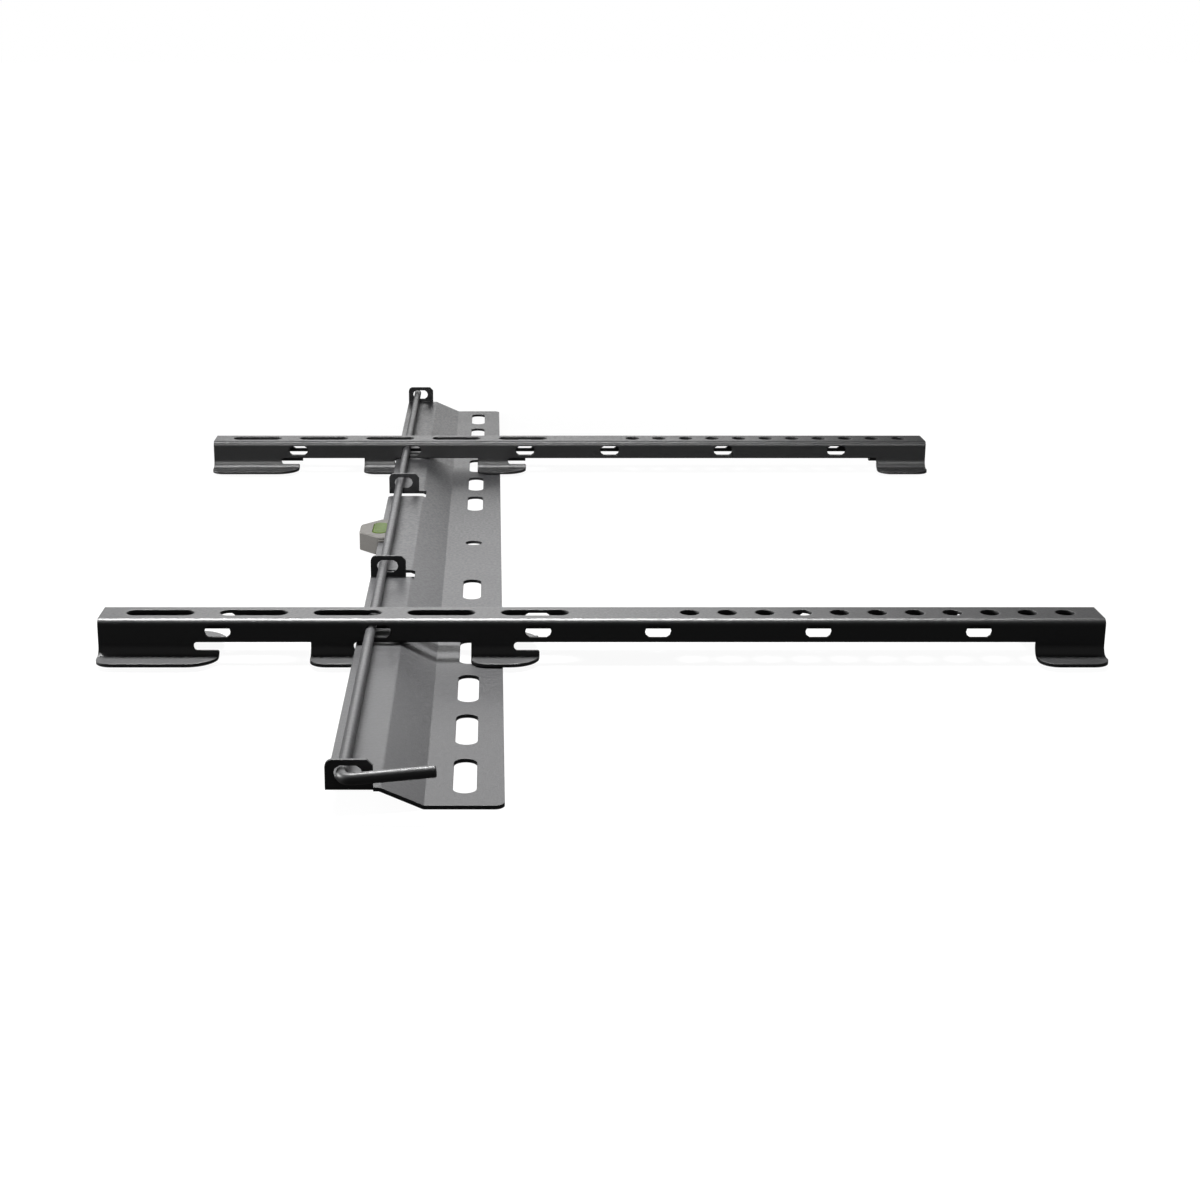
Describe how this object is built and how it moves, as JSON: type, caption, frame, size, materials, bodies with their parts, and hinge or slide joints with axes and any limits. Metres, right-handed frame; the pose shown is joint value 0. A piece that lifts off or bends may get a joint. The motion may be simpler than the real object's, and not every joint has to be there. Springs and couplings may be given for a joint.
{
  "type": "fixed tv wall bracket",
  "caption": "Low-profile fixed wall bracket for a flat screen: slotted wall plate with a raised ledge, hooked channel arms, a sliding lock rod and a spirit level.",
  "frame": {"origin": "middle of the row of wall slots, on the wall face", "axes": "+Z away from the wall, +Y along the wall plate, +X down in use"},
  "size_m": [0.471, 0.7969, 0.0206],
  "materials": {
    "black_coat": "satin",
    "rod_coat": "satin",
    "grey_plastic": "matte",
    "vial": "gloss",
    "fluid": "gloss"
  },
  "bodies": {
    "wall": {"wall_plate": "black_coat", "level_housing": "grey_plastic", "level_vial": "vial", "level_fluid": "fluid"},
    "left_arm": {"arm_left": "black_coat"},
    "right_arm": {"arm_right": "black_coat"},
    "rod": {"lock_rod": "rod_coat"}
  },
  "joints": [
    {"name": "left_arm_slide", "type": "slide", "parent": "wall", "child": "left_arm", "axis": [0, 1, 0], "range_m": [-0.173, 0.088]},
    {"name": "right_arm_slide", "type": "slide", "parent": "wall", "child": "right_arm", "axis": [0, 1, 0], "range_m": [-0.088, 0.173]},
    {"name": "rod_draw", "type": "slide", "parent": "wall", "child": "rod", "axis": [0, -1, 0], "range_m": [0, 0.7]}
  ]
}
